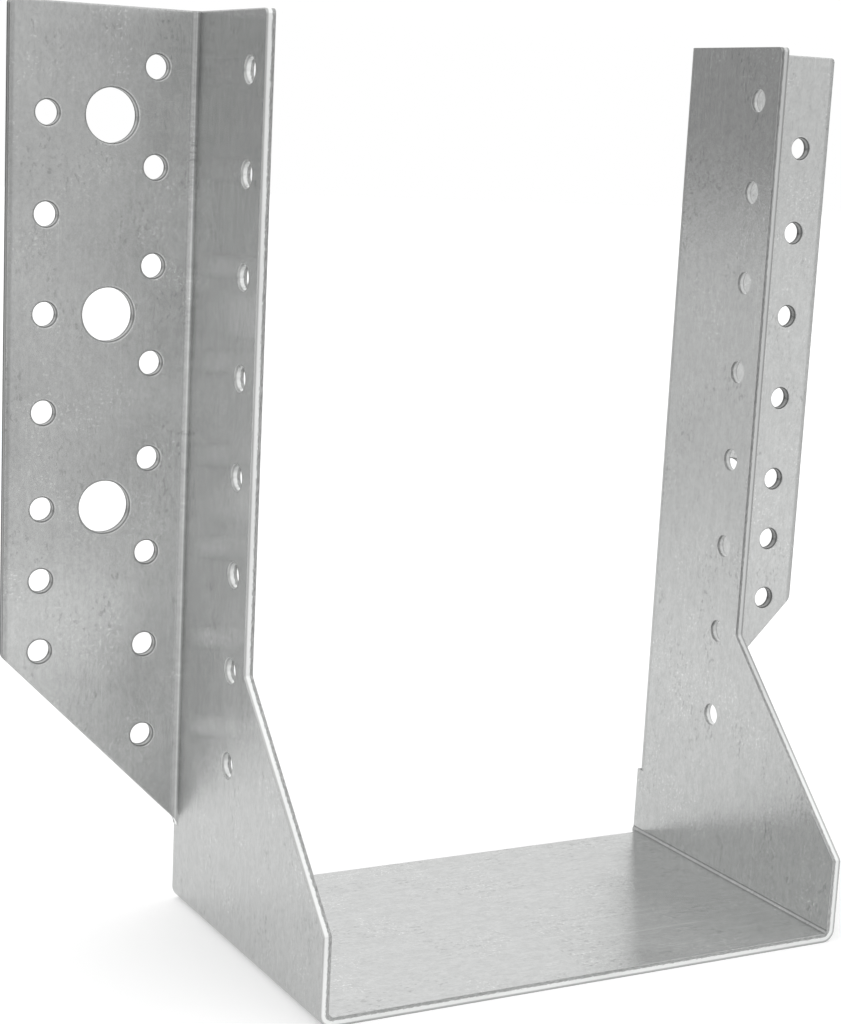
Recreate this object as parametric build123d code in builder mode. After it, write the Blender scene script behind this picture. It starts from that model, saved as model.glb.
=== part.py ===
from build123d import *
import os
from math import radians, tan

os.makedirs("parts", exist_ok=True)

# A joist hanger folded from one blank of steel sheet. Two legs rise from a seat
# that carries the joist, and a flange on each leg lies against the header.
# X runs across the hanger, the header is on the +Y side, and the seat's
# underside lies on Z = 0. The origin is under the middle of the bounding box.

# Driving dimensions, in millimetres
joist_width = 120.0  # clear width between the two legs
hanger_height = 190.0  # underside of the seat to the top of the legs
seat_depth = 76.0  # back of the flanges to the front of the seat
sheet = 2.0  # thickness of the sheet
seat_bend_radius = 0.8  # inside radius of the bends between seat and legs
flange_bend_radius = 1.6  # inside radius of the bends between legs and flanges

# Outline of a leg, seen from the side
leg_depth = 35.5  # back of the flanges to the upper front edge
front_edge_height = 18.5  # top of the upright front edge beside the seat
leg_slope = 45.0  # degrees from horizontal of the sloping front edge
leg_back_inset = 0.9  # back of the flanges to the back edge below them
knee_radius = 1.5  # where the sloping edge meets the upper front edge
corner_radius = 1.0  # at the other corners of the blank

# Outline of a flange, seen from the front
flange_width = 39.5  # outer face of the leg to the free edge
flange_foot_height = 18.3  # where the sloping edge would meet the leg
flange_slope = 45.0  # degrees from horizontal of the sloping edge
foot_radius = 2.5  # blends the sloping edge into the leg's back edge
shoulder_radius = 2.5  # blends it into the free edge

# Back edge of the seat, cut back between the legs
seat_inset = 3.6  # back of the flanges to the seat's back edge
relief_radius = 2.7  # round end of that cut beside a leg
relief_gap = 0.3  # inner face of the leg to the cut

# Punched holes
nail_diameter = 5.0
bolt_diameter = 11.0
row_pitch = 20.0  # between rows of nail holes
first_row_height = 38.5  # lowest row in each leg, and in each flange's inner column
top_margin = 10.0  # least distance from those rows' centres to the top edge
first_bolt_height = 88.5  # lowest bolt hole, and lowest row of the outer column
outer_top_margin = 20.0  # least distance from those centres to the top edge
close_rows = 2  # nail holes below the outer column, beside the sloping edge
close_pitch = 15.0  # between those
leg_column_inset = 28.5  # back of the flanges to the leg's column of holes
inner_column = 8.5  # outer face of the leg to the flange's inner column
bolt_column = 18.0  # to the bolt holes
outer_column = 31.5  # to the outer column
rim_depth = 0.3  # rounding of a hole's rim on the outside of the sheet

# Faces and bends that follow from the sizes above
header_y = seat_depth / 2
front_y = header_y - seat_depth
inner_x = joist_width / 2
outer_x = inner_x + sheet
leg_edge_y = header_y - leg_depth
leg_back_y = header_y - leg_back_inset
knee_height = front_edge_height + (seat_depth - leg_depth) * tan(radians(leg_slope))
flange_edge_x = outer_x + flange_width
shoulder_height = flange_foot_height + flange_width * tan(radians(flange_slope))
flange_bend_y = header_y - flange_bend_radius - sheet
fold_foot = flange_foot_height - foot_radius * tan(radians(90 - flange_slope) / 2)

# Rows of holes, as many as the height takes, with a bolt hole level with every other outer row
inner_rows = 1 + int((hanger_height - top_margin - first_row_height) / row_pitch)
outer_rows = 1 + int((hanger_height - outer_top_margin - first_bolt_height) / row_pitch)
bolt_rows = (outer_rows + 1) // 2

# Workplanes on the outside of the sheet, which the holes are punched from
flange_front = Plane.XZ.offset(sheet - header_y)
leg_outside = Plane.YZ.offset(outer_x)


def punch_column(face, across, lowest, pitch, rows, diameter):
    """Punch a column of round holes through the sheet from its outside."""
    heights = [lowest + pitch * row for row in range(rows)]
    with Locations(face):
        with Locations([(across, height) for height in heights]):
            CounterSinkHole(
                radius=diameter / 2,
                counter_sink_radius=diameter / 2 + rim_depth,
                depth=2 * sheet,
                counter_sink_angle=90,
            )


with BuildPart() as hanger_body:
    # Half of the seat and one leg, bent from the sheet as an angle
    with BuildSketch(Plane.XZ.offset(-header_y)):
        with BuildLine():
            FilletPolyline(
                (0, 0),
                (outer_x, 0),
                (outer_x, hanger_height),
                radius=seat_bend_radius + sheet,
            )
            offset(amount=sheet, side=Side.LEFT)
        make_face()
    extrude(amount=seat_depth)

    # The blank's outline seen from the side, with the sloping front edge
    with BuildSketch(Plane.YZ):
        with BuildLine():
            FilletPolyline(
                (leg_back_y, 0),
                (leg_back_y, fold_foot),
                (flange_bend_y, fold_foot),
                (flange_bend_y, hanger_height),
                (leg_edge_y, hanger_height),
                (leg_edge_y, knee_height),
                (front_y, front_edge_height),
                (front_y, 0),
                radius=(0, 0, 0, 0, corner_radius, knee_radius, corner_radius, 0),
                close=True,
            )
        make_face()
    extrude(amount=outer_x, mode=Mode.INTERSECT)

    # The flange, bent outwards from the back of the leg
    with BuildSketch(Plane.XY.offset(fold_foot)):
        with BuildLine():
            bend = JernArc(
                (inner_x, flange_bend_y),
                (0, 1),
                radius=flange_bend_radius + sheet,
                arc_size=-90,
            )
            Line(bend @ 1, (flange_edge_x, header_y))
            offset(amount=sheet, side=Side.RIGHT)
        make_face()
    extrude(amount=hanger_height - fold_foot)

    # The blank's outline seen from the front, with the flange's sloping edge
    with BuildSketch(Plane.XZ.offset(-header_y)):
        with BuildLine():
            FilletPolyline(
                (0, 0),
                (outer_x, 0),
                (outer_x, flange_foot_height),
                (flange_edge_x, shoulder_height),
                (flange_edge_x, hanger_height),
                (0, hanger_height),
                radius=(0, 0, foot_radius, shoulder_radius, corner_radius, 0),
                close=True,
            )
        make_face()
    extrude(amount=seat_depth, mode=Mode.INTERSECT)

    # The seat's back edge, cut back to a round corner beside the leg
    with BuildSketch():
        with BuildLine():
            FilletPolyline(
                (0, header_y),
                (0, header_y - seat_inset),
                (inner_x - relief_gap, header_y - seat_inset),
                (inner_x - relief_gap, header_y),
                radius=(0, 0, relief_radius, 0),
                close=True,
            )
        make_face()
    extrude(amount=sheet + seat_bend_radius, mode=Mode.SUBTRACT)

    # Nail holes in the leg, then nail and bolt holes in the flange
    leg_column = header_y - leg_column_inset
    lowest_close = first_bolt_height - close_rows * close_pitch
    punch_column(leg_outside, leg_column, first_row_height, row_pitch, inner_rows, nail_diameter)
    punch_column(
        flange_front, outer_x + inner_column, first_row_height, row_pitch, inner_rows, nail_diameter
    )
    punch_column(
        flange_front, outer_x + outer_column, first_bolt_height, row_pitch, outer_rows, nail_diameter
    )
    punch_column(
        flange_front, outer_x + outer_column, lowest_close, close_pitch, close_rows, nail_diameter
    )
    punch_column(
        flange_front, outer_x + bolt_column, first_bolt_height, 2 * row_pitch, bolt_rows, bolt_diameter
    )

    # The left half mirrors the right
    mirror(about=Plane.YZ)

hanger_body.part.label = "hanger_body"
export_step(hanger_body.part, "parts/hanger_body.step")
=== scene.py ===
"""Looks of the joist hanger: zinc-coated steel, a pale floor, studio light and the camera."""

from math import cos, radians, sin

import bpy
from mathutils import Euler, Matrix, Vector


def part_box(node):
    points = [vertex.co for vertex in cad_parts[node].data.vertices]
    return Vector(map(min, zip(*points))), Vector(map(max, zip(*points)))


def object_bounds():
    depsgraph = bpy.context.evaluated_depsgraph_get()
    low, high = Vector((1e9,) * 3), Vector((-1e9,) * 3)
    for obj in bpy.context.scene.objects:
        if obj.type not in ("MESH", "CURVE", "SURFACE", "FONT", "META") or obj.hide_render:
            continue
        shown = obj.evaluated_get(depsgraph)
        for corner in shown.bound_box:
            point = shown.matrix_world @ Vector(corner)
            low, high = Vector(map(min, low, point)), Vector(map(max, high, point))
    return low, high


MM = 0.001

# Camera, in metres and degrees
CAMERA_PLACE = (-0.2330, -0.3799, 0.1698)
CAMERA_HEADING = -28.78
CAMERA_DIP = 11.23
CAMERA_ROLL = 2.88
CAMERA_LENS = 75.3  # millimetres, on a sensor of the next size
CAMERA_SENSOR = 36.0
CAMERA_SHIFT_UP = 0.037
CAMERA_NEAR = 0.01

# Headings in degrees: the white part behind the object, and the dimmer part in front of it
WHITE_HEADING = -CAMERA_HEADING
DARK_HEADING = 171.0
DARK_FADE = (30.0, 14.0)  # from nothing to all of it, in degrees off that heading

# The folded sheet, in metres
SHEET = 2.0 * MM
LEG_OUTSIDE = 62.0 * MM
SEAT_BEND = 2.8 * MM  # outside radius
FLANGE_BEND = 1.6 * MM  # inside radius
FLANGE_FOOT = 17.3 * MM  # where the flange's bend starts

# Brightness of the metal, as a share of the light it sends back
ZINC = 0.53
BURNISHED = 0.95
FRACTURE = 0.42
GREEN_SHARE = 1.012
BLUE_SHARE = 1.004

# What each mark on the rolled face adds to its brightness
MARK_BRIGHTNESS = {
    "speckle": 0.028,
    "grain": 0.022,
    "rolling": 0.010,
    "patches": 0.020,
    "pits": -0.10,
    "flecks": 0.14,
    "scored": 0.07,
}

# Share of its brightness that the metal keeps: painted shade inside the seat's bend, inside and
# outside the flange's bend and on the right leg's cut, and where the flanges' cuts are dull and
# their edges worn
SEAT_CREASE_SHADE = 0.60
FLANGE_CREASE_SHADE = 0.76
FLANGE_BEND_OUTSIDE_SHADE = 0.84
FLANGE_CUT = 0.55
RIGHT_LEG_CUT_SHADE = 0.72
FLANGE_EDGE = 0.78

# Roughness of the rolled face, and what patches and cuts add to it
ROLLED_ROUGHNESS = 0.22
PATCH_ROUGHNESS = 0.03
CUT_ROUGHNESS = 0.20

# Relief of the surface
EDGE_ROUNDING = 0.5 * MM
BUMP_HEIGHT = 0.02 * MM
BUMP_STRENGTH = 0.10

FLOOR_HALF = 4.0

# Sockets of a Mix node set to vectors, which share their names with its other sockets
VECTOR_A, VECTOR_B, VECTOR_RESULT = 4, 5, 1


def empty_tree(owner):
    """The emptied node tree of a material or a world."""
    owner.use_nodes = True
    owner.node_tree.nodes.clear()
    return owner.node_tree


def add_node(tree, kind, values=(), **settings):
    """Add a node, set its properties, and give each input a value or a link."""
    node = tree.nodes.new(kind)
    for name, setting in settings.items():
        setattr(node, name, setting)
    for name, value in dict(values).items():
        if isinstance(value, bpy.types.NodeSocket):
            tree.links.new(value, node.inputs[name])
        else:
            node.inputs[name].default_value = value
    return node


def calc(tree, operation, *values):
    """The result of a Math node on numbers or sockets."""
    node = add_node(tree, "ShaderNodeMath", dict(enumerate(values)), operation=operation)
    return node.outputs[0]


def vector_calc(tree, operation, *values):
    """The outputs of a Vector Math node: Vector, and Value for a length or a dot product."""
    node = add_node(tree, "ShaderNodeVectorMath", dict(enumerate(values)), operation=operation)
    return node.outputs


def split(tree, place):
    """The X, Y and Z of a place."""
    return add_node(tree, "ShaderNodeSeparateXYZ", {"Vector": place}).outputs


def join(tree, x, y, z=0.0):
    """A place from its X, Y and Z."""
    return add_node(tree, "ShaderNodeCombineXYZ", {"X": x, "Y": y, "Z": z}).outputs[0]


def remap(tree, value, start, end, low=0.0, high=1.0):
    """Take value smoothly from low at start to high at end."""
    node = add_node(
        tree,
        "ShaderNodeMapRange",
        {"Value": value, "From Min": start, "From Max": end, "To Min": low, "To Max": high},
        interpolation_type="SMOOTHSTEP",
    )
    return node.outputs["Result"]


def blend(tree, factor, low, high):
    """The number low where factor is 0, and high where it is 1."""
    values = {"Factor": factor, "A": low, "B": high}
    return add_node(tree, "ShaderNodeMix", values, data_type="FLOAT").outputs["Result"]


def blend_vectors(tree, factor, low, high):
    """The vector low where factor is 0, and high where it is 1."""
    values = {"Factor": factor, VECTOR_A: low, VECTOR_B: high}
    return add_node(tree, "ShaderNodeMix", values, data_type="VECTOR").outputs[VECTOR_RESULT]


def dimmed(tree, tone, mask, share):
    """A tone that keeps only a share of itself where the mask is 1."""
    return calc(tree, "MULTIPLY", tone, remap(tree, mask, 0.0, 1.0, 1.0, share))


def noise(tree, place, scale, detail=2.0, roughness=0.5):
    """Noise around 0.5 at a place."""
    node = add_node(
        tree,
        "ShaderNodeTexNoise",
        {"Vector": place, "Scale": scale, "Detail": detail, "Roughness": roughness},
    )
    return node.outputs["Fac"]


def drawn_out(tree, place, share):
    """A place that draws marks out along the rolling direction, the more the smaller the share."""
    values = {"Vector": place, "Scale": (share, 1.0, 1.0)}
    return add_node(tree, "ShaderNodeMapping", values).outputs[0]


def depth_in_sheet(tree, place):
    """Distance of a place from the outside of the sheet, and how far it lies into either bend."""
    axes = split(tree, place)
    across = calc(tree, "ABSOLUTE", axes["X"])
    # Seat and leg, round the seat's bend
    along = calc(tree, "SUBTRACT", across, LEG_OUTSIDE - SEAT_BEND)
    down = calc(tree, "SUBTRACT", SEAT_BEND, axes["Z"])
    corner = join(tree, calc(tree, "MAXIMUM", along, 0.0), calc(tree, "MAXIMUM", down, 0.0))
    reach = vector_calc(tree, "LENGTH", corner)["Value"]
    inner = calc(tree, "MINIMUM", calc(tree, "MAXIMUM", along, down), 0.0)
    seat_side = calc(tree, "SUBTRACT", SEAT_BEND, calc(tree, "ADD", reach, inner))
    # Leg and flange, round the flange's bend
    header_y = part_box("hanger_body")[1].y
    bend_y = header_y - SHEET - FLANGE_BEND
    inward = calc(tree, "SUBTRACT", LEG_OUTSIDE + FLANGE_BEND, across)
    inward = calc(tree, "MAXIMUM", inward, 0.0)
    back = calc(tree, "MAXIMUM", calc(tree, "SUBTRACT", axes["Y"], bend_y), 0.0)
    reach = vector_calc(tree, "LENGTH", join(tree, inward, back))["Value"]
    flange_side = calc(tree, "SUBTRACT", reach, FLANGE_BEND)
    above = calc(tree, "GREATER_THAN", axes["Z"], FLANGE_FOOT)
    depth = blend(tree, above, seat_side, flange_side)
    seat_crease = calc(tree, "MINIMUM", along, down)
    flange_crease = calc(tree, "MULTIPLY", calc(tree, "MINIMUM", inward, back), above)
    return depth, seat_crease, flange_crease


def place_on_blank(tree, place, depth):
    """A place on the flat blank: along the rolling direction, across it, and into the sheet."""
    axes = split(tree, place)
    across = calc(tree, "ABSOLUTE", axes["X"])
    rise = calc(tree, "ADD", calc(tree, "MINIMUM", across, LEG_OUTSIDE), axes["Z"])
    along = calc(tree, "MULTIPLY", rise, calc(tree, "SIGN", axes["X"]))
    beyond = calc(tree, "MAXIMUM", calc(tree, "SUBTRACT", across, LEG_OUTSIDE), 0.0)
    side = calc(tree, "SUBTRACT", axes["Y"], beyond)
    return join(tree, along, side, calc(tree, "MULTIPLY", depth, 4.0))


def across_rolling(tree):
    """The direction on the surface at right angles to the rolling direction."""
    normal = add_node(tree, "ShaderNodeNewGeometry").outputs["Normal"]
    upright = vector_calc(tree, "CROSS_PRODUCT", normal, (0.0, 0.0, 1.0))["Vector"]
    level = calc(tree, "GREATER_THAN", calc(tree, "ABSOLUTE", split(tree, normal)["Z"]), 0.9)
    picked = blend_vectors(tree, level, upright, (0.0, 1.0, 0.0))
    return vector_calc(tree, "NORMALIZE", picked)["Vector"]


def scratches(tree, blank, turn, density):
    """Long thin scratches across the blank at an angle, few where density is low."""
    laid = add_node(
        tree,
        "ShaderNodeMapping",
        {"Vector": blank, "Rotation": (0.0, 0.0, radians(turn)), "Scale": (14.0, 1900.0, 300.0)},
    ).outputs[0]
    lines = remap(tree, noise(tree, laid, 1.0, 1.0, 0.4), 0.69, 0.76)
    where = noise(tree, blank, 45.0, 1.0, 0.5)
    return calc(tree, "MULTIPLY", lines, remap(tree, where, 0.62 - density, 0.70 - density))


def rolled_marks(tree, blank):
    """The marks on the rolled face: waves from -1 to 1, and masks from 0 to 1."""
    drawn = drawn_out(tree, blank, 0.6)
    streaks = drawn_out(tree, blank, 0.05)
    pits = remap(tree, noise(tree, drawn, 1100.0, 2.0, 0.6), 0.57, 0.65)
    pitted = remap(tree, noise(tree, drawn, 110.0, 2.0, 0.5), 0.50, 0.62)
    flecks = remap(tree, noise(tree, blank, 1500.0, 2.0, 0.6), 0.59, 0.65)
    flecked = remap(tree, noise(tree, blank, 85.0, 2.0, 0.5), 0.50, 0.60)
    long_scratches = scratches(tree, blank, 3.0, 0.10)
    slanting_scratches = scratches(tree, blank, 52.0, 0.04)
    return {
        "speckle": remap(tree, noise(tree, drawn, 1500.0, 4.0, 0.75), 0.36, 0.64, -1.0, 1.0),
        "grain": remap(tree, noise(tree, drawn, 520.0, 3.0, 0.65), 0.32, 0.68, -1.0, 1.0),
        "rolling": remap(tree, noise(tree, streaks, 900.0, 4.0, 0.7), 0.34, 0.66, -1.0, 1.0),
        "patches": remap(tree, noise(tree, blank, 48.0, 2.0, 0.5), 0.3, 0.7, -1.0, 1.0),
        "pits": calc(tree, "MULTIPLY", pits, pitted),
        "flecks": calc(tree, "MULTIPLY", flecks, flecked),
        "scored": calc(tree, "MAXIMUM", long_scratches, slanting_scratches),
    }


def rolled_tone(tree, marks, depth, seat_crease, flange_crease):
    """Brightness of the rolled face, darkened by painted shade round the bends, with a painted
    highlight line inside the flange's bend.
    """
    tone = ZINC
    for name, amount in MARK_BRIGHTNESS.items():
        tone = calc(tree, "MULTIPLY_ADD", marks[name], amount, tone)
    # The legs' and seat's inner face, and the outer face of legs and flanges
    inner_face = remap(tree, depth, 1.60 * MM, 1.80 * MM)
    outer_face = remap(tree, depth, 0.20 * MM, 0.40 * MM, 1.0, 0.0)
    # Painted shade: the inside of the seat's bend is darkened where shade falls in the corner
    crease_shade = remap(tree, seat_crease, -0.08 * MM, 0.15 * MM)
    tone = dimmed(tree, tone, calc(tree, "MULTIPLY", crease_shade, inner_face), SEAT_CREASE_SHADE)
    # Inside the flange's bend painted shade darkens the corner, and a painted highlight line along
    # the middle stays bright
    crease_shade = calc(tree, "MULTIPLY", remap(tree, flange_crease, 0.0, 0.25 * MM), outer_face)
    burnish_and_highlight = remap(tree, flange_crease, 0.95 * MM, 1.08 * MM)
    crease_shade = calc(tree, "MULTIPLY", crease_shade, calc(tree, "SUBTRACT", 1.0, burnish_and_highlight))
    tone = dimmed(tree, tone, crease_shade, FLANGE_CREASE_SHADE)
    # Painted shade: a darker band round the outside of the flange's bend
    outside_bend_shade = calc(tree, "MULTIPLY", remap(tree, flange_crease, 0.0, 0.30 * MM), inner_face)
    return dimmed(tree, tone, outside_bend_shade, FLANGE_BEND_OUTSIDE_SHADE)


def sheared_tone(tree, speckle, place, depth):
    """Brightness of a cut: bright where the punch rubbed it, dark and ragged where it broke."""
    axes = split(tree, place)
    from_middle = calc(tree, "ABSOLUTE", axes["X"])
    burnish_and_highlight = remap(tree, depth, 0.25 * MM, 0.60 * MM, ZINC, BURNISHED)
    ragged = calc(tree, "MULTIPLY_ADD", speckle, 0.13, FRACTURE)
    torn_line = calc(tree, "MULTIPLY_ADD", speckle, 0.14 * MM, depth)
    broken = remap(tree, torn_line, 1.18 * MM, 1.30 * MM)
    tone = blend(tree, broken, burnish_and_highlight, ragged)
    # The flanges' holes and edges are duller, and the right leg's cut above its foot is darkened
    # with painted shade
    on_flange = remap(tree, from_middle, LEG_OUTSIDE + 2.5 * MM, LEG_OUTSIDE + 3.5 * MM)
    tone = dimmed(tree, tone, on_flange, FLANGE_CUT)
    rightwards = remap(tree, axes["X"], 0.0, LEG_OUTSIDE - SHEET)
    above_foot = remap(tree, axes["Z"], 20.0 * MM, 60.0 * MM)
    return dimmed(tree, tone, calc(tree, "MULTIPLY", rightwards, above_foot), RIGHT_LEG_CUT_SHADE)


def edge_normal(tree, depth):
    """The surface's direction, rounded at edges on the side that the punch came from."""
    rounded = add_node(tree, "ShaderNodeBevel", {"Radius": EDGE_ROUNDING}, samples=6).outputs[0]
    plain = add_node(tree, "ShaderNodeNewGeometry").outputs["Normal"]
    punched_away = remap(tree, depth, 0.40 * MM, 0.65 * MM)
    return blend_vectors(tree, punched_away, rounded, plain)


def galvanised_sheet():
    """Zinc-coated steel: a fine mottled grain, rolling marks, scratches and sheared edges."""
    material = bpy.data.materials.new("galvanised_sheet")
    tree = empty_tree(material)
    place = add_node(tree, "ShaderNodeTexCoord").outputs["Object"]
    depth, seat_crease, flange_crease = depth_in_sheet(tree, place)
    marks = rolled_marks(tree, place_on_blank(tree, place, depth))

    skin = calc(tree, "MINIMUM", depth, calc(tree, "SUBTRACT", SHEET, depth))
    cut = remap(tree, skin, 0.03 * MM, 0.10 * MM)
    rolled = rolled_tone(tree, marks, depth, seat_crease, flange_crease)
    sheared = sheared_tone(tree, marks["speckle"], place, depth)
    tone = blend(tree, cut, rolled, sheared)
    edge_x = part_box("hanger_body")[1].x
    from_middle = calc(tree, "ABSOLUTE", split(tree, place)["X"])
    worn = remap(tree, from_middle, edge_x - 1.3 * MM, edge_x - 0.6 * MM, 1.0, FLANGE_EDGE)
    tone = calc(tree, "MULTIPLY", tone, worn)
    colour = add_node(
        tree,
        "ShaderNodeCombineColor",
        {
            "Red": tone,
            "Green": calc(tree, "MULTIPLY", tone, GREEN_SHARE),
            "Blue": calc(tree, "MULTIPLY", tone, BLUE_SHARE),
        },
    ).outputs[0]

    rough = calc(tree, "MULTIPLY_ADD", marks["patches"], PATCH_ROUGHNESS, ROLLED_ROUGHNESS)
    rough = calc(tree, "MULTIPLY_ADD", cut, CUT_ROUGHNESS, rough)
    height = calc(tree, "ADD", marks["speckle"], marks["rolling"])
    height = calc(tree, "MULTIPLY_ADD", marks["grain"], 0.5, height)
    height = calc(tree, "MULTIPLY_ADD", marks["pits"], -2.0, height)
    height = calc(tree, "MULTIPLY_ADD", marks["scored"], -2.0, height)
    bump = add_node(
        tree,
        "ShaderNodeBump",
        {
            "Strength": BUMP_STRENGTH,
            "Distance": BUMP_HEIGHT,
            "Height": height,
            "Normal": edge_normal(tree, depth),
        },
    ).outputs[0]
    surface = add_node(
        tree,
        "ShaderNodeBsdfPrincipled",
        {
            "Base Color": colour,
            "Metallic": 1.0,
            "Roughness": rough,
            "Anisotropic": 1.0,
            "Tangent": across_rolling(tree),
            "Normal": bump,
        },
    ).outputs[0]
    add_node(tree, "ShaderNodeOutputMaterial", {"Surface": surface})
    return material


def level_direction(heading):
    """The level direction of a heading in degrees, 0 along Y and turning towards X."""
    return (sin(radians(heading)), cos(radians(heading)), 0.0)


def facing(tree, place, heading, start, end):
    """1 for places and directions that lie along a level heading, 0 for those well aside of it."""
    flat = vector_calc(tree, "MULTIPLY", place, (1.0, 1.0, 0.0))["Vector"]
    unit = vector_calc(tree, "NORMALIZE", flat)["Vector"]
    share = vector_calc(tree, "DOT_PRODUCT", unit, level_direction(heading))["Value"]
    return remap(tree, share, cos(radians(start)), cos(radians(end)))


def floor_material():
    """A matt floor that glows a little, white behind the object and greyer in front and aside."""
    material = bpy.data.materials.new("floor_white")
    tree = empty_tree(material)
    place = add_node(tree, "ShaderNodeTexCoord").outputs["Object"]
    reach = vector_calc(tree, "LENGTH", place)["Value"]
    front_to_back = split(tree, place)["Y"]
    from_camera = vector_calc(tree, "SUBTRACT", place, CAMERA_PLACE)["Vector"]
    ahead = vector_calc(tree, "DOT_PRODUCT", from_camera, level_direction(WHITE_HEADING))["Value"]
    behind = calc(
        tree,
        "MULTIPLY",
        facing(tree, from_camera, WHITE_HEADING, 18.0, 13.0),
        remap(tree, ahead, 0.335, 0.365),
    )
    # Painted shade for the metal to reflect: the floor turns greyer ahead of the object along the
    # dark heading
    dim = calc(
        tree,
        "MULTIPLY",
        facing(tree, place, DARK_HEADING, *DARK_FADE),
        remap(tree, reach, 0.12, 0.45),
    )
    grey = remap(tree, dim, 0.0, 1.0, 0.74, 0.60)
    colour = add_node(tree, "ShaderNodeCombineColor", {"Red": grey, "Green": grey, "Blue": grey})
    matt = add_node(tree, "ShaderNodeBsdfDiffuse", {"Color": colour.outputs[0]}).outputs[0]
    aside = remap(tree, reach, 0.15, 0.70, 0.20, -0.03)
    # Painted light for the metal to reflect: the floor glows more further in front
    in_front = remap(tree, front_to_back, 0.0, -0.25, -0.03, 0.32)
    aside = calc(tree, "MAXIMUM", aside, in_front)
    aside = calc(tree, "MULTIPLY", aside, calc(tree, "SUBTRACT", 1.0, dim))
    lift = blend(tree, behind, aside, 0.28)
    path = add_node(tree, "ShaderNodeLightPath").outputs
    seen = calc(tree, "MAXIMUM", path["Is Glossy Ray"], path["Is Transmission Ray"])
    seen = calc(tree, "MAXIMUM", path["Is Camera Ray"], seen)
    strength = calc(tree, "MULTIPLY", lift, seen)
    glow = add_node(tree, "ShaderNodeEmission", {"Strength": strength}).outputs[0]
    surface = add_node(tree, "ShaderNodeAddShader", {0: matt, 1: glow}).outputs[0]
    add_node(tree, "ShaderNodeOutputMaterial", {"Surface": surface})
    return material


def pale_floor(level):
    """A wide level floor under the object."""
    signs = [(-1, -1), (1, -1), (1, 1), (-1, 1)]
    corners = [(x * FLOOR_HALF, y * FLOOR_HALF, level) for x, y in signs]
    mesh = bpy.data.meshes.new("floor")
    mesh.from_pydata(corners, [], [(0, 1, 2, 3)])
    mesh.materials.append(floor_material())
    floor = bpy.data.objects.new("floor", mesh)
    bpy.context.scene.collection.objects.link(floor)


def studio_world():
    """Pale surroundings: white behind the object, bright overhead, greyer aside and in front."""
    world = bpy.data.worlds.new("studio")
    tree = empty_tree(world)
    heading = add_node(tree, "ShaderNodeTexCoord").outputs["Generated"]
    axes = split(tree, heading)
    level = remap(tree, axes["Y"], -0.40, 0.20, 1.08, 0.57)
    dark = facing(tree, heading, DARK_HEADING, *DARK_FADE)
    level = calc(tree, "MULTIPLY_ADD", dark, -0.36, level)
    level = calc(tree, "MULTIPLY_ADD", remap(tree, axes["X"], -0.50, -0.92), -0.40, level)
    level = blend(tree, facing(tree, heading, WHITE_HEADING, 25.0, 15.0), level, 1.0)
    strength = blend(tree, remap(tree, axes["Z"], 0.03, 0.30), level, 1.22)
    light = add_node(
        tree, "ShaderNodeBackground", {"Color": (1.0, 1.0, 1.0, 1.0), "Strength": strength}
    ).outputs[0]
    add_node(tree, "ShaderNodeOutputWorld", {"Surface": light})
    bpy.context.scene.world = world


def camera():
    """The camera, placed by its heading, dip and roll."""
    data = bpy.data.cameras.new("camera")
    data.lens = CAMERA_LENS
    data.sensor_width = CAMERA_SENSOR
    data.shift_y = CAMERA_SHIFT_UP
    data.clip_start = CAMERA_NEAR
    eye = bpy.data.objects.new("camera", data)
    turn = Euler((radians(90 - CAMERA_DIP), 0, radians(CAMERA_HEADING))).to_matrix()
    turn = turn @ Matrix.Rotation(radians(CAMERA_ROLL), 3, "Z")
    eye.matrix_world = Matrix.Translation(Vector(CAMERA_PLACE)) @ turn.to_4x4()
    bpy.context.scene.collection.objects.link(eye)
    bpy.context.scene.camera = eye


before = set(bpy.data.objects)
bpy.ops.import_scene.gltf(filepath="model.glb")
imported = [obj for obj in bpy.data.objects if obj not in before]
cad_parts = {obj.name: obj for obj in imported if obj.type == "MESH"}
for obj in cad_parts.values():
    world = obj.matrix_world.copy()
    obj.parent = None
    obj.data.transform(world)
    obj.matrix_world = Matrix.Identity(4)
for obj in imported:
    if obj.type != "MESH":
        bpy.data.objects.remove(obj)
cad_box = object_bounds()

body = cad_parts["hanger_body"]
sheet_material = galvanised_sheet()
body.data.materials.clear()
body.data.materials.append(sheet_material)

pale_floor(cad_box[0].z)
studio_world()
camera()
bpy.context.scene.view_settings.view_transform = "Standard"
